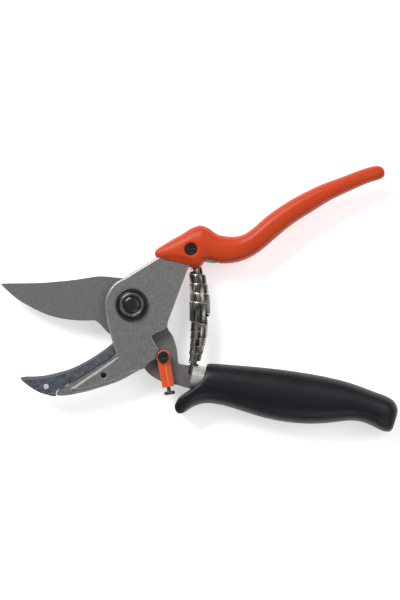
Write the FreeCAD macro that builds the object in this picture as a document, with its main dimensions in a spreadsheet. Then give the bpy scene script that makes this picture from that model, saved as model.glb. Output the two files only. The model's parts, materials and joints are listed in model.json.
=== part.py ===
"""Bypass pruning shears with a rolling lower handle, as a parametric FreeCAD document.

The shears are drawn lying on their back, in the working frame of the pivot: the pivot axis is Z, the
blade points along -X, the handles along +X, and Z = 0 is the plane where blade and hook slide past each
other. The hook half (frame, hook, upper handle) lies above that plane and the blade below it. Once every
piece is made, all of them are moved together so that the origin is the middle of the underside of the
whole tool's box.

Millimetres throughout. The driving sizes are in the sheet "dims".
"""

import FreeCAD
import Part

import math
import os

import Sketcher
from FreeCAD import Placement, Rotation, Vector

# --------------------------------------------------------------------------------------------------
# Driving sizes: alias, value, meaning
# --------------------------------------------------------------------------------------------------

SIZES = [
    ("bearing_gap", 0.10, "gap between the sliding faces of blade and frame"),
    # frame and hook
    ("plate_thickness", 5.0, "frame plate"),
    ("hook_land", 3.9, "height of the hook's low land above the frame's back face"),
    ("core_drop", 3.1, "how far the handle core reaches below the frame's back face"),
    ("plate_rounding", 0.7, "rounded front edge of the frame plate"),
    ("ridge_chamfer", 1.2, "bevel along the hook's raised ridge"),
    ("hub_gap", 0.3, "gap between the catch hub and its seat in the frame at full opening"),
    ("strip_margin", 0.1, "clearance round the strip's hidden edges in its seat"),
    # counter blade
    ("strip_thickness", 1.4, "hardened counter blade strip"),
    ("insert_thickness", 3.0, "plated backing piece on the strip"),
    ("rivet_radius", 1.35, "rivets through strip and backing"),
    ("rivet_proud", 0.25, "rivet head above the backing"),
    ("butt_gap", 0.12, "joint line between backing and hook"),
    ("insert_screw_radius", 1.0, "shank of the screw that holds the strip to the hook"),
    ("dowel_length", 3.1, "dowel that locates the strip's hidden end"),
    ("insert_screw_head", 1.5, "head radius of that screw"),
    ("insert_screw_height", 1.0, "head height of that screw"),
    ("insert_screw_sink", 1.0, "depth of the head below the ridge"),
    ("insert_slot_width", 0.5, "slot in that screw's head"),
    ("insert_slot_depth", 0.4, "slot in that screw's head"),
    # blade
    ("blade_thickness", 3.4, "blade and tang"),
    ("bevel_width", 6.5, "ground bevel on the back of the blade"),
    ("edge_land", 0.35, "thickness left at the cutting edge before the bevel"),
    # pivot
    ("bolt_radius", 4.4, "pivot bolt shank"),
    ("bush_wall", 1.5, "blade bush wall"),
    ("running_gap", 0.04, "radial clearance of turning fits"),
    ("bolt_head_radius", 7.0, "pivot bolt head"),
    ("bolt_head_height", 3.2, "pivot bolt head"),
    ("socket_radius", 2.9, "hexagon socket in the bolt head, across corners / 2"),
    ("socket_depth", 2.0, "hexagon socket in the bolt head"),
    ("glide_radius", 9.5, "glide disc between blade and frame"),
    ("glide_thickness", 0.7, "glide disc"),
    ("back_washer_radius", 7.6, "washer between bolt head and blade"),
    ("back_washer_thickness", 0.5, "washer between bolt head and blade"),
    ("washer_radius", 8.25, "large washer under the pivot nut"),
    ("washer_thickness", 1.2, "large washer under the pivot nut"),
    ("nut_radius", 7.0, "pivot nut at its foot"),
    ("nut_top_radius", 5.75, "pivot nut at its rim"),
    ("nut_height", 2.3, "pivot nut"),
    ("nut_recess_radius", 5.25, "recess in the nut's face"),
    ("nut_recess_depth", 1.3, "recess in the nut's face"),
    ("bolt_end_radius", 2.8, "flat on the bolt's coned end"),
    ("bolt_end_height", 1.1, "length of the bolt's coned end"),
    # upper handle
    ("cover_offset", 0.15, "how far the cover's middle plane lies behind the core's"),
    ("cover_squareness", 2.5, "exponent of the cover's rounded sections"),
    ("cover_wall", 2.9, "cover's front wall over the core, at the screw"),
    ("bevel_drop", 0.7, "ridge of the nose bevel below that wall's face"),
    ("bevel_run", 4.4, "nose bevel, from its ridge to the frame plate"),
    ("bevel_foot", 0.4, "foot of the nose bevel below the plate's face"),
    ("screw_hole_radius", 3.1, "counterbores in the upper handle"),
    ("screw_sink", 0.5, "bevel round the screw hole"),
    ("screw_head_radius", 2.75, "handle screw head and sleeve head"),
    ("screw_head_height", 1.6, "handle screw head and sleeve head"),
    ("cross_width", 0.85, "cross recess of the handle screw"),
    ("cross_reach", 1.9, "cross recess of the handle screw, from its middle"),
    ("cross_depth", 0.9, "cross recess of the handle screw"),
    ("screw_shank_radius", 1.5, "handle screw shank"),
    ("sleeve_radius", 2.3, "threaded sleeve that takes the handle screw"),
    # spring
    ("spring_length", 48.0, "rolled spring at rest"),
    ("spring_turns", 8.0, "turns of the rolled spring"),
    ("strip_metal", 0.4, "spring strip thickness"),
    ("strip_height", 8.0, "spring strip width"),
    ("waist_height", 4.3, "width of the strip over its widest turn"),
    ("coil_inner_radius", 2.8, "innermost turn of the spring"),
    ("coil_outer_radius", 5.5, "outermost turn of the spring"),
    ("stud_radius", 1.6, "studs that hold the spring's ends"),
    ("stud_length", 11.0, "spring studs"),
    ("seat_radius", 2.7, "collar of the spring studs"),
    ("seat_thickness", 0.55, "collar of the spring studs"),
    ("seat_gap", 0.3, "clearance round the spring's upper end in the cover"),
    # lower handle
    ("roll_axis_angle", -10.5, "slope of the rolling grip's axis in the XY plane, degrees"),
    ("collar_radius", 6.3, "visible collar of the grip core"),
    ("collar_length", 6.2, "visible collar of the grip core"),
    ("spindle_radius", 5.0, "spindle that the grip rolls on"),
    ("spindle_end", 69.0, "end of the spindle along its axis"),
    ("bush_thickness", 1.1, "grip bushes"),
    ("front_bush_start", 8.6, "front grip bush, along the axis"),
    ("rear_bush_start", 56.0, "rear grip bush, along the axis"),
    ("grip_bush_length", 12.0, "grip bushes"),
    ("shoulder_step", 0.2, "tang's shoulder inside the collar's edge"),
    ("mouth_gap", 0.9, "clearance between collar and the cavity in the grip's mouth"),
    ("mouth_depth", 8.4, "end of that cavity, along the axis"),
    ("mouth_reach", 32.0, "how far the mouth's cutters reach ahead of the axis start"),
    ("liner_wall", 1.46, "hard liner moulded into the grip"),
    ("liner_gap", 0.3, "gap between the liner's end and the thrust washer"),
    ("drawn_liner_radius", 7.6, "liner radius that the grip's sections are drawn for"),
    ("grip_squareness", 2.35, "exponent of the grip's rounded sections"),
    ("thrust_step", 0.5, "thrust washer inside the liner's radius"),
    ("grip_bore_end", 74.5, "end of the grip's bore along the axis"),
    ("thrust_thickness", 1.0, "thrust washer"),
    ("end_screw_radius", 2.0, "grip retaining screw shank"),
    ("end_screw_length", 12.0, "grip retaining screw shank"),
    ("end_screw_head", 4.0, "grip retaining screw head radius"),
    ("end_screw_height", 3.0, "grip retaining screw head height"),
    ("tang_neck", 3.1, "half height of the tang inside the spindle"),
    ("tang_end", 20.0, "end of the tang along the grip's axis"),
    ("pin_radius", 1.25, "tang pins"),
    ("pin_length", 8.4, "tang pins"),
    # catch
    ("hub_radius", 3.5, "catch hub"),
    ("arm_half_width", 3.0, "catch arm"),
    ("arm_length", 15.2, "catch arm, hub centre to square end"),
    ("arm_angle", -80.2, "direction of the parked catch arm, degrees"),
    ("catch_lift", 0.35, "gap between tang and catch arm, filled by the spring washer"),
    ("catch_thickness", 5.3, "catch arm and hub"),
    ("catch_bevel", 1.5, "bevels along the top of the catch arm"),
    ("hub_step", 1.0, "step down from the arm's top to the hub"),
    ("catch_screw_head", 2.9, "catch screw head radius"),
    ("catch_screw_height", 2.2, "catch screw head height"),
    ("catch_screw_shank", 1.6, "catch screw shank radius"),
    ("catch_slot_width", 0.9, "slot in the catch screw's head"),
    ("catch_slot_depth", 0.9, "slot in the catch screw's head"),
    ("catch_slot_angle", 16, "direction of that slot, degrees"),
    ("foot_stem_radius", 0.95, "stem of the sprung foot"),
    ("foot_head_radius", 2.75, "head of the sprung foot"),
    ("foot_head_height", 1.7, "head of the sprung foot"),
    ("foot_reach", 2.3, "bare stem between arm and head"),
    ("foot_collar_radius", 1.45, "collar on the stem inside the arm"),
    ("foot_collar_length", 1.2, "collar on the stem inside the arm"),
    ("foot_bore_radius", 1.6, "bore in the arm for the foot and its spring"),
    ("foot_bore_depth", 9.2, "bore in the arm for the foot and its spring"),
    ("foot_bore_lift", 0.3, "axis of that bore above the middle of the arm's side"),
    ("foot_guide_length", 1.8, "guide bush in the mouth of that bore"),
    ("foot_wire", 0.3, "wire of the foot's spring"),
    ("foot_spring_turns", 5, "turns of the foot's spring"),
]

# Places on the tool, in the pivot's working frame
CATCH_HUB = Vector(15.8, -26.3, 0)
HANDLE_SCREW = Vector(29.7, 27.9, 0)
NOSE_RIDGE = ((19.2, 25.3), (33.4, 21.9))
FRONT_RIVET = Vector(-43.1, -41.2, 0)
REAR_RIVET = Vector(-10.8, -31.0, 0)
INSERT_SCREW = Vector(-14.2, -35.5, 0)
ROLL_AXIS_START = Vector(30.0, -36.3, 0)
SPRING_LEVEL = -0.4
STEPS_PER_TURN = 14
SECTION_POINTS = 28
CROSS_TURNS = (20, 110)
TANG_PIN_STATIONS = (11.5, 16.5)
UP = Vector(0, 0, 1)

doc = FreeCAD.newDocument("pruning_shears")
sheet = doc.addObject("Spreadsheet::Sheet", "dims")
subparts = []


def fill_sheet():
    for row, (alias, value, meaning) in enumerate(SIZES, start=1):
        sheet.set(f"A{row}", meaning)
        sheet.set(f"B{row}", str(value))
        sheet.setAlias(f"B{row}", alias)
    doc.recompute()


def size(alias):
    return float(getattr(sheet, alias))


def bind(feature, prop, expression):
    feature.setExpression(prop, expression)


# --------------------------------------------------------------------------------------------------
# Outlines: a start point and steps, each a line, an arc or a smooth curve, given as plain (x, y) pairs
# --------------------------------------------------------------------------------------------------


def flat(point):
    return Vector(point[0], point[1], 0)


def line(end):
    return "line", [end]


def arc(middle, end):
    return "arc", [middle, end]


def curve(*points):
    return "curve", list(points)


def outline(start, *steps):
    """Closed list of sketch edges from start through the steps and back."""
    edges = []
    here = flat(start)
    for kind, points in steps:
        there = [flat(p) for p in points]
        if kind == "line":
            edges.append(Part.LineSegment(here, there[0]))
        elif kind == "arc":
            edges.append(Part.Arc(here, there[0], there[1]))
        else:
            spline = Part.BSplineCurve()
            spline.interpolate([here] + there)
            edges.append(spline)
        here = there[-1]
    return edges


def polar(centre, radius, degrees):
    angle = math.radians(degrees)
    return centre.x + radius * math.cos(angle), centre.y + radius * math.sin(angle)


# --------------------------------------------------------------------------------------------------
# PartDesign helpers
# --------------------------------------------------------------------------------------------------


def register(feature, label):
    """Marks a finished object as a sub-part, exported under its label."""
    feature.Label = label
    subparts.append(feature)
    return feature


def new_body(label):
    return register(doc.addObject("PartDesign::Body", label), label)


def origin_plane(body, role="XY_Plane"):
    return next(f for f in body.Origin.OriginFeatures if f.Role == role)


def sketch(body, name, height, edges):
    """Sketch on the body's XY plane, lifted to the height given by an expression."""
    made = body.newObject("Sketcher::SketchObject", name)
    made.AttachmentSupport = [(origin_plane(body), "")]
    made.MapMode = "FlatFace"
    bind(made, "AttachmentOffset.Base.z", height)
    for edge in edges:
        made.addGeometry(edge, False)
    return made


def circle_sketch(body, name, height, centre, radius):
    """Circle on the XY plane whose radius is an expression of the sheet."""
    made = sketch(body, name, height, [])
    made.addGeometry(Part.Circle(centre, UP, 1.0), False)
    radius_constraint = made.addConstraint(Sketcher.Constraint("Radius", 0, 1.0))
    bind(made, f"Constraints[{radius_constraint}]", radius)
    return made


def pad(body, profile, length, downwards=False):
    made = body.newObject("PartDesign::Pad", profile.Name + "_pad")
    made.Profile = profile
    made.Reversed = downwards
    bind(made, "Length", length)
    profile.Visibility = False
    return made


def pocket(body, profile, depth, upwards=False):
    """Cuts from the sketch downwards, or upwards if asked. Fails if nothing was cut."""
    doc.recompute()
    before = body.Shape.Volume
    made = body.newObject("PartDesign::Pocket", profile.Name + "_pocket")
    made.Profile = profile
    made.Reversed = upwards
    bind(made, "Length", depth)
    doc.recompute()
    if not body.Shape.Volume < before - 1e-6:
        raise RuntimeError(f"{made.Name} cut nothing")
    return made


def drill(body, name, radius, depth, base, axis):
    """Round hole at an angle, from its base point along its axis. Fails if nothing was cut."""
    doc.recompute()
    before = body.Shape.Volume
    made = body.newObject("PartDesign::SubtractiveCylinder", name)
    bind(made, "Radius", radius)
    bind(made, "Height", depth)
    made.AttachmentSupport = [(origin_plane(body), "")]
    made.MapMode = "FlatFace"
    made.AttachmentOffset = Placement(base, Rotation(UP, axis))
    doc.recompute()
    if not body.Shape.Volume < before - 1e-6:
        raise RuntimeError(f"{name} cut nothing")


def tapered(body, name, shape, height, amount):
    """Layer as high as the named size, whose edges slope in by as much."""
    foot = sketch(body, name + "_foot", height, shape())
    head = sketch(body, name + "_head", f"{height} + dims.{amount}", shape(size(amount)))
    loft(body, name, foot, head)


def loft(body, name, first, second):
    doc.recompute()
    made = body.newObject("PartDesign::AdditiveLoft", name)
    made.Profile = first
    made.Sections = [second]
    made.Ruled = True
    doc.recompute()


# --------------------------------------------------------------------------------------------------
# Part helpers
# --------------------------------------------------------------------------------------------------


def cylinder(name, radius, height, base, axis=UP):
    """Part::Cylinder whose radius and height are expressions of the sheet."""
    made = doc.addObject("Part::Cylinder", name)
    bind(made, "Radius", radius)
    bind(made, "Height", height)
    made.Placement = Placement(base, Rotation(UP, axis))
    return made


def cone(name, foot_radius, top_radius, height, base, axis=UP):
    made = doc.addObject("Part::Cone", name)
    bind(made, "Radius1", foot_radius)
    bind(made, "Radius2", top_radius)
    bind(made, "Height", height)
    made.Placement = Placement(base, Rotation(UP, axis))
    return made


def fuse(name, *shapes):
    made = doc.addObject("Part::MultiFuse", name)
    made.Shapes = list(shapes)
    return made


def cut(name, base, tool):
    made = doc.addObject("Part::Cut", name)
    made.Base = base
    made.Tool = tool
    return made


def feature(name, shape):
    made = doc.addObject("Part::Feature", name)
    made.Shape = shape
    return made


def hexagon_prism(name, corner_radius, height, base):
    made = doc.addObject("Part::Prism", name)
    made.Polygon = 6
    bind(made, "Circumradius", corner_radius)
    bind(made, "Height", height)
    made.Placement = Placement(base, Rotation())
    return made


def crossing_bar(name, reach, width, height, middle, degrees):
    """Bar that cuts a slot or one arm of a cross, centred on its middle and turned about Z."""
    turn = Placement(middle, Rotation(UP, degrees))
    corner = Placement(Vector(-reach, -width / 2, 0), Rotation())
    return box(name, 2 * reach, width, height, turn.multiply(corner))


def box(name, length, width, height, placement):
    made = doc.addObject("Part::Box", name)
    made.Length, made.Width, made.Height = length, width, height
    made.Placement = placement
    return made


def rounded_section(top, bottom, half_width, middle, squareness):
    """Closed smooth section between a top and a bottom point, upright in z, as a superellipse."""
    centre = (top + bottom) * 0.5 + UP * middle
    across = (top - bottom) * 0.5
    points = []
    for i in range(SECTION_POINTS):
        angle = 2 * math.pi * i / SECTION_POINTS
        c, s = math.cos(angle), math.sin(angle)
        reach = (abs(c) ** squareness + abs(s) ** squareness) ** (-1.0 / squareness)
        points.append(centre + across * (c * reach) + UP * (half_width * s * reach))
    spline = Part.BSplineCurve()
    spline.interpolate(points, PeriodicFlag=True)
    return Part.Wire([spline.toShape()])


def lofted(stations, middle, squareness):
    """Solid through stations of (top, bottom, half width)."""
    wires = [
        rounded_section(top, bottom, half_width, middle, squareness)
        for top, bottom, half_width in stations
    ]
    return Part.makeLoft(wires, True, False)


# --------------------------------------------------------------------------------------------------
# Shared outlines
# --------------------------------------------------------------------------------------------------

# Upper edge of the metal core inside the upper handle, from the frame's shoulder to the far end
CORE_START = (18, 27)
CORE_TOP = [
    (25, 31.2), (30.5, 34.7), (34.5, 36), (39, 34.6), (44.5, 31.9), (51, 31.2), (57, 32.4),
    (64, 37), (72, 43), (81, 49), (91, 54), (101, 57.6),
]
# Lower edge of the core, back from the far end to where it shows below the cover
CORE_BOTTOM = [
    (91, 50.5), (82, 45.9), (74, 40.6), (67, 34.4), (60, 29.3), (54, 26.2), (49.5, 24.1), (46.5, 22.5),
    (43.5, 21.3), (39.5, 21.2),
]
CORE_END = (103.6, 56.6)
CORE_END_LOW = (101.4, 54.6)


def on_roll_axis(along, across):
    """Point in the XY plane at a distance along the grip's axis and across it."""
    angle = math.radians(size("roll_axis_angle"))
    return (
        ROLL_AXIS_START.x + along * math.cos(angle) - across * math.sin(angle),
        ROLL_AXIS_START.y + along * math.sin(angle) + across * math.cos(angle),
    )


def roll_base(along):
    """Point on the grip's axis, at the height of the tang's middle plane."""
    point = flat(on_roll_axis(along, 0))
    point.z = -size("blade_thickness") / 2
    return point


def roll_direction():
    return flat(on_roll_axis(1, 0)) - flat(on_roll_axis(0, 0))


def arm_base(along, height=0.0):
    """Point on the catch arm's middle line."""
    point = flat(polar(CATCH_HUB, along, size("arm_angle")))
    point.z = height
    return point


def arm_direction():
    return arm_base(1) - arm_base(0)


def seat_arc():
    """Concave seat in the frame that the catch hub stops against at full opening."""
    radius = size("hub_radius") + size("hub_gap")
    return [polar(CATCH_HUB, radius, degrees) for degrees in (132, 160, 188)]


def frame_lower_right():
    """Steps from the frame's right shoulder down past the catch hub to the hook's foot."""
    first, middle, last = seat_arc()
    return [
        line((17.95, -9)),
        curve((17.6, -11.2), (14.5, -13.3), (11, -15)),
        curve((10.1, -16), (10.4, -17.3)),
        line((12.9, -21.4)),
        curve((13.4, -22.4), first),
        arc(middle, last),
        curve((11.3, -27.5), (9.8, -28.2), (8, -29.7), (6.1, -31.9)),
        curve((5.2, -32.5), (4, -32.6)),
    ]


def frame_left(inset=0.0):
    """Steps up the frame's left edge, past the pivot, to the shoulder at the upper handle."""
    around = [(-8.8, -22), (-10, -18), (-11, -14), (-12.5, -8), (-13.3, -3), (-13.6, 0), (-13.3, 3),
              (-12, 6.5), (-10, 9.5), (-7.2, 11.9), (-3.9, 13.5)]
    return [
        curve(*[(x * (1 - inset / math.hypot(x, y)), y * (1 - inset / math.hypot(x, y)))
                for x, y in around]),
        line((12.5 + inset / 2, 23.7 - inset)),
    ]


def core_loop():
    """Steps round the core inside the upper handle, from its start to the frame's right shoulder."""
    return [
        curve(*CORE_TOP),
        arc(CORE_END, CORE_END_LOW),
        curve(*CORE_BOTTOM),
        line((37.2, 21.5)),
        curve((36, 22.6), (32.8, 21.6), (29.3, 19.9)),
    ]


def core_steps():
    """Steps along the core inside the upper handle and back to the frame's right shoulder."""
    return [line(CORE_START), *core_loop(), line((27.9, 17.6))]


def frame_outline():
    """Whole frame with hook, plate and core."""
    return outline(
        (-8.2, -24),
        *frame_left(),
        *core_steps(),
        *frame_lower_right(),
        curve((0, -35), (-4, -37.3), (-10, -39.8), (-16, -41.7), (-22, -43.5), (-28, -44.8),
              (-34, -45.8), (-37, -45.8)),
        curve((-37.9, -45.2), (-37.9, -44.2)),
        curve((-37, -43), (-33, -40.7), (-28, -37.7), (-22, -34), (-16, -30.2), (-10, -26),
              (-8.2, -24)),
    )


def plate_outline(inset=0.0):
    """The frame without the hook's low land; an inset draws its left edge in."""
    foot = (-8.2 + inset, -24)
    return outline(
        foot,
        *frame_left(inset),
        *core_steps(),
        *frame_lower_right(),
        curve((0.5, -32.7 + inset), (-4.5 + inset, -30 + inset), (-7.6 + inset, -26.6), foot),
    )


def ridge_outline(inset=0.0):
    """Raised middle of the hook, level with the plate it runs into; an inset draws its edges in."""
    return outline(
        (-30.5 + inset, -42.4),
        curve((-24, -38 - inset / 3), (-16, -32.6 - inset / 3), (-8.6, -27.6)),
        curve((-3, -25.5), (2, -27), (4.5, -30.2)),
        curve((2.5, -33.2 + inset / 2), (-1.5, -35.2 + inset), (-8, -38.5 + inset),
              (-14, -40.5 + inset), (-20, -42.2 + inset), (-27, -43.6 + inset)),
        curve((-29.8 + inset, -43.6 + inset), (-30.5 + inset, -42.4)),
    )


def core_outline():
    """Thick part of the core, inside the cover only."""
    return outline(CORE_START, *core_loop(), line(CORE_START))


def strip_outline(margin=0.0):
    """Counter blade: its upper edge cuts; its lower edge lies hidden behind the hook."""
    return outline(
        (-56.4, -36.7),
        curve((-54, -36.2), (-50, -36.1), (-44, -35.6), (-38, -34.3), (-32, -32.6), (-26, -30),
              (-20, -26.6), (-14, -22.6), (-8.6, -18.1)),
        line((-5 + margin, -20 - margin)),
        curve((-6 + margin, -27 - margin), (-10 + margin, -35 - margin), (-13 + margin, -38 - margin)),
        line((-17, -38.2 - margin)),
        curve((-27, -38.6 - margin), (-38, -42.3 - margin), (-45, -43.6), (-50, -41.2),
              (-54, -38.9)),
        curve((-56, -37.6), (-56.4, -36.7)),
    )


def insert_outline():
    """Plated backing between the strip's cutting edge and the hook."""
    gap = size("butt_gap")
    return outline(
        (-55.6, -38.05),
        curve((-50, -37.5), (-44, -36.95), (-38, -35.65), (-32, -33.9), (-26, -31.3), (-20, -27.95),
              (-14, -23.95), (-10.2, -20.9)),
        line((-9.2 - gap, -22)),
        line((-8.4 - gap, -24 + gap)),
        curve((-10 - gap, -26 + gap), (-16 - gap, -30.2 + gap), (-22 - gap, -34 + gap),
              (-28 - gap, -37.7 + gap), (-33 - gap, -40.7 + gap), (-37 - gap, -43 + gap)),
        curve((-38.15, -44), (-38.1, -45.9)),
        curve((-40, -46), (-42, -45.5), (-46, -44.3), (-50, -42.2), (-54, -39.3)),
        line((-55.6, -38.05)),
    )


def blade_outline(bevel=0.0):
    """Blade and tang. With a bevel the cutting edge is drawn back towards the spine by that much."""
    reach = size("tang_end")
    neck = size("tang_neck")
    shoulder = size("collar_radius") - size("shoulder_step")
    return outline(
        (-65.75, 10.75),
        curve((-56, 10.9), (-46, 11.1), (-38, 11.7), (-30, 12.5), (-22, 13.7), (-16, 14.4),
              (-12, 14.2), (-4, 13.4)),
        curve((3, 12.9), (9.4, 9.4), (12.6, 3.5), (14.6, -4), (17.7, -10.5)),
        curve((18.1, -12.2), (20, -15), (21.5, -18.5), (22.5, -22), (23, -26), (23.2, -28.8)),
        curve((23.9, -29.8), (25.2, -30.2), (27.6, -30.6)),
        line(on_roll_axis(0, shoulder)),
        line(on_roll_axis(0, neck)),
        line(on_roll_axis(reach, neck)),
        line(on_roll_axis(reach, -neck)),
        line(on_roll_axis(0, -neck)),
        line(on_roll_axis(0, -shoulder)),
        curve((26.5, -41.6), (21.5, -40.2), (14.5, -38.5), (11, -36.7), (8, -34.3), (6, -31.8)),
        curve((2, -27), (-3.5, -21), (-10.3, -15.2)),
        curve((-14 + bevel * 0.3, -12.2 + bevel * 0.3), (-16 + bevel * 0.4, -10 + bevel * 0.8),
              (-19, -7.9 + bevel)),
        curve((-24, -8 + bevel), (-28, -7.9 + bevel), (-34, -7.2 + bevel), (-40, -5.9 + bevel),
              (-46, -3.7 + bevel), (-52, -0.7 + bevel), (-58, 2.9 + bevel * 0.85),
              (-62, 6.2 + bevel * 0.5), (-65.8, 9.7)),
        curve((-66, 10.25), (-65.75, 10.75)),
    )


def grip_front():
    """Region in front of the grip's slanted mouth, cut away from the grip."""
    return outline(
        (38.3, -26),
        line((38.3, -29.6)),
        curve((37.4, -30.8), (36.6, -34.6), (35.3, -37.5), (33.4, -40), (31, -41.9), (28.2, -43.7),
              (25, -45.9), (22.6, -48), (21.5, -50.7), (21.9, -53.2), (23.5, -54.8), (25.6, -54.7),
              (28.2, -53.2)),
        line((28.2, -60)),
        line((10, -60)),
        line((10, -26)),
        line((38.3, -26)),
    )


# Sections of the upper handle's cover: point on its upper edge, point on its lower edge, and how far its
# widest place stands out past the metal core
COVER_SECTIONS = [
    ((11.5, 26.7), (11.5, 25.1), 0.3),
    ((12.7, 28.2), (12.6, 23.6), 1.0),
    ((15.4, 30), (15.3, 22), 1.7),
    ((20, 32.8), (20, 20), 2.5),
    ((25, 35.6), (25.4, 18.5), 3.0),
    ((29.6, 38.5), (30.2, 18.7), 3.3),
    ((33, 39.9), (34, 18.6), 3.4),
    ((35.6, 40), (36.8, 21.6), 3.4),
    ((38.4, 38.9), (38.8, 21.8), 3.3),
    ((42.5, 36), (42.2, 21.1), 3.25),
    ((48, 34.6), (48, 20.8), 3.25),
    ((54.2, 34.8), (56.2, 22.4), 3.35),
    ((60.4, 38.2), (63.6, 26.3), 3.45),
    ((67, 44), (70.6, 32), 3.45),
    ((74, 49.1), (77.5, 37.9), 3.45),
    ((81.5, 53.8), (85, 43.3), 3.35),
    ((89, 57.7), (92.6, 48), 3.15),
    ((97, 61.3), (100, 52.6), 2.85),
    ((105, 64.2), (107.6, 56.3), 2.45),
    ((113, 67.3), (115.6, 59.9), 1.95),
    ((119.6, 69.5), (121.4, 62.1), 1.35),
    ((124.4, 70.1), (125.2, 63.3), 0.35),
    ((127.3, 68), (127.5, 65.2), -1.65),
]

# Sections of the rolling grip, from ahead of its mouth to its rounded end: upper and lower point, half width
GRIP_SECTIONS = [
    ((33, -29.5), (18, -57), 8.6),
    ((38.4, -29.6), (26.6, -54.7), 9.3),
    ((43, -29.85), (34.5, -50.2), 9.5),
    ((48.5, -30.25), (43, -50.3), 9.5),
    ((56, -30.8), (52, -52.6), 9.7),
    ((65, -31.6), (62, -55.8), 9.9),
    ((75, -32.7), (72, -58.3), 10.0),
    ((85, -34.1), (82.5, -59.8), 10.0),
    ((95, -35.8), (92, -60.15), 9.9),
    ((105, -38), (101, -59.55), 9.6),
    ((113, -40.35), (108.4, -58.65), 9.4),
    ((120, -43), (115, -59), 9.3),
    ((125.6, -45.05), (120.8, -61), 9.1),
    ((130.2, -47), (125.3, -63.3), 8.4),
    ((133, -49.4), (128.6, -64.3), 6.9),
    ((134.3, -53.6), (131.4, -63.2), 4.2),
]


# --------------------------------------------------------------------------------------------------
# Frame, hook and what is fixed to them
# --------------------------------------------------------------------------------------------------


def make_frame():
    body = new_body("body_casting")
    low = sketch(body, "hook_and_plate", "dims.bearing_gap", frame_outline())
    pad(body, low, "dims.hook_land - dims.bearing_gap")
    high = sketch(body, "plate", "dims.hook_land", plate_outline())
    pad(body, high, "dims.bearing_gap + dims.plate_thickness - dims.plate_rounding - dims.hook_land")
    tapered(body, "rim", plate_outline,
            "dims.bearing_gap + dims.plate_thickness - dims.plate_rounding", "plate_rounding")
    tapered(body, "ridge", ridge_outline, "dims.hook_land", "ridge_chamfer")
    core = sketch(body, "core", "dims.bearing_gap", core_outline())
    pad(body, core, "dims.core_drop", downwards=True)

    strip = sketch(body, "strip_seat", "dims.bearing_gap", strip_outline(size("strip_margin")))
    pocket(body, strip, "dims.strip_thickness", upwards=True)
    bore = circle_sketch(body, "pivot_bore", "dims.bearing_gap + dims.plate_thickness", Vector(),
                         "dims.bolt_radius")
    pocket(body, bore, "dims.plate_thickness")
    glide = circle_sketch(body, "glide_seat", "dims.bearing_gap", Vector(),
                          "dims.glide_radius + dims.running_gap")
    pocket(body, glide, "dims.glide_thickness - dims.bearing_gap / 2", upwards=True)

    shank = circle_sketch(body, "handle_screw_hole", "dims.bearing_gap + dims.plate_thickness",
                          HANDLE_SCREW, "dims.screw_shank_radius")
    pocket(body, shank, "dims.plate_thickness + dims.core_drop")
    sleeve = circle_sketch(body, "sleeve_hole", "dims.bearing_gap - dims.core_drop", HANDLE_SCREW,
                           "dims.sleeve_radius")
    pocket(body, sleeve, "dims.core_drop + dims.plate_thickness / 2", upwards=True)

    hole = circle_sketch(body, "insert_screw_hole", "dims.hook_land + dims.ridge_chamfer",
                         INSERT_SCREW, "dims.insert_screw_radius")
    pocket(body, hole, "dims.hook_land")
    sink = circle_sketch(body, "insert_screw_sink", "dims.hook_land + dims.ridge_chamfer",
                         INSERT_SCREW, "dims.insert_screw_head")
    pocket(body, sink, "dims.insert_screw_sink + dims.insert_screw_height")
    dowel = circle_sketch(body, "dowel_hole", "dims.bearing_gap", REAR_RIVET, "dims.rivet_radius")
    pocket(body, dowel, "dims.dowel_length", upwards=True)
    drill(body, "stud_hole", "dims.stud_radius", "dims.stud_length / 2", *upper_stud_axis())
    return body


def make_counter_blade():
    body = new_body("counter_blade")
    profile = sketch(body, "strip", "dims.bearing_gap", strip_outline())
    pad(body, profile, "dims.strip_thickness")
    for name, centre, radius in (
        ("front_rivet_hole", FRONT_RIVET, "dims.rivet_radius"),
        ("dowel_hole_strip", REAR_RIVET, "dims.rivet_radius"),
        ("strip_screw_hole", INSERT_SCREW, "dims.insert_screw_radius"),
    ):
        hole = circle_sketch(body, name, "dims.bearing_gap", centre, radius)
        pocket(body, hole, "dims.strip_thickness", upwards=True)


def make_insert():
    body = new_body("hook_insert")
    profile = sketch(body, "backing", "dims.bearing_gap + dims.strip_thickness", insert_outline())
    pad(body, profile, "dims.insert_thickness")
    hole = circle_sketch(body, "backing_hole", "dims.bearing_gap + dims.strip_thickness",
                         FRONT_RIVET, "dims.rivet_radius")
    pocket(body, hole, "dims.insert_thickness", upwards=True)


def lifted(point, height):
    return Vector(point.x, point.y, height)


def make_hook_fasteners():
    back = size("bearing_gap")
    rivet = cylinder("rivet", "dims.rivet_radius",
                     "dims.strip_thickness + dims.insert_thickness + dims.rivet_proud",
                     lifted(FRONT_RIVET, back))
    register(rivet, "counter_blade_rivet")
    dowel = cylinder("dowel", "dims.rivet_radius", "dims.dowel_length", lifted(REAR_RIVET, back))
    register(dowel, "counter_blade_dowel")
    height = size("insert_screw_height")
    floor = size("hook_land") + size("ridge_chamfer") - size("insert_screw_sink") - height
    shank = cylinder("insert_shank", "dims.insert_screw_radius",
                     "dims.hook_land + dims.ridge_chamfer - dims.insert_screw_sink"
                     " - dims.insert_screw_height - dims.bearing_gap", lifted(INSERT_SCREW, back))
    head = cylinder("insert_head", "dims.insert_screw_head", "dims.insert_screw_height",
                    lifted(INSERT_SCREW, floor))
    depth = size("insert_slot_depth")
    slot = crossing_bar("insert_slot", size("insert_screw_head"), size("insert_slot_width"), depth,
                        lifted(INSERT_SCREW, floor + height - depth), 0)
    register(cut("slotted_insert_screw", fuse("insert_screw_blank", shank, head), slot),
             "insert_screw")


# --------------------------------------------------------------------------------------------------
# Pivot
# --------------------------------------------------------------------------------------------------


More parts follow.
